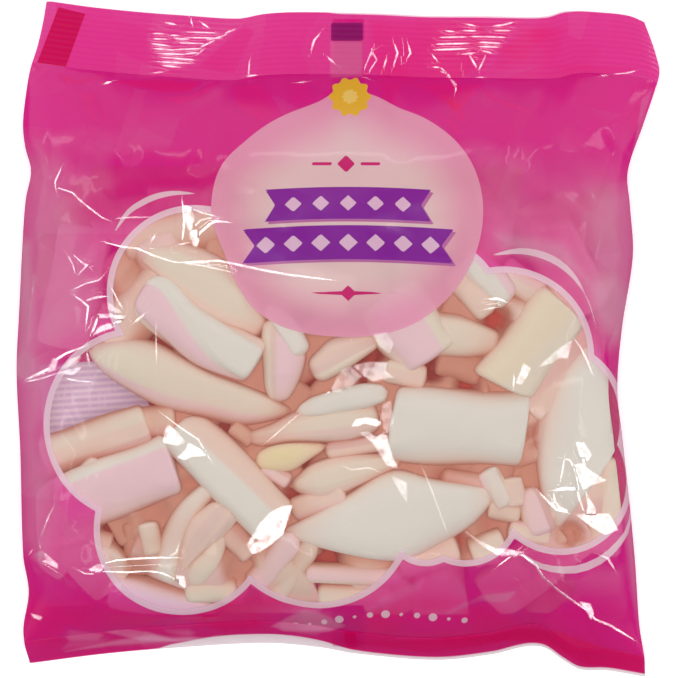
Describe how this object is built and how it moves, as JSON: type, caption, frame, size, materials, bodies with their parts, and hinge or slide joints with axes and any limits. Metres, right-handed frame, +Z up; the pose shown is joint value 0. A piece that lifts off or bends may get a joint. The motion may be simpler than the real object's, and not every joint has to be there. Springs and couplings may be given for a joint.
{
  "type": "bag of marshmallows",
  "caption": "Sealed pillow bag of marshmallows lying on its back: pink see-through film with a clear cloud-shaped window, a ribbed seal at each end and a long seal underneath",
  "frame": {"origin": "centre of the bounding box, at its lowest point: under the middle of the bag, on the table", "axes": "+Z up from the table towards the printed front, +Y along the bag towards its top seal, +X to the right as the front is read"},
  "size_m": [0.245, 0.2592, 0.0564],
  "materials": {
    "film": "glossy, thin pink see-through film over white and pink sweets"
  },
  "bodies": {
    "root": {"marshmallow_bag": "film"}
  },
  "joints": []
}
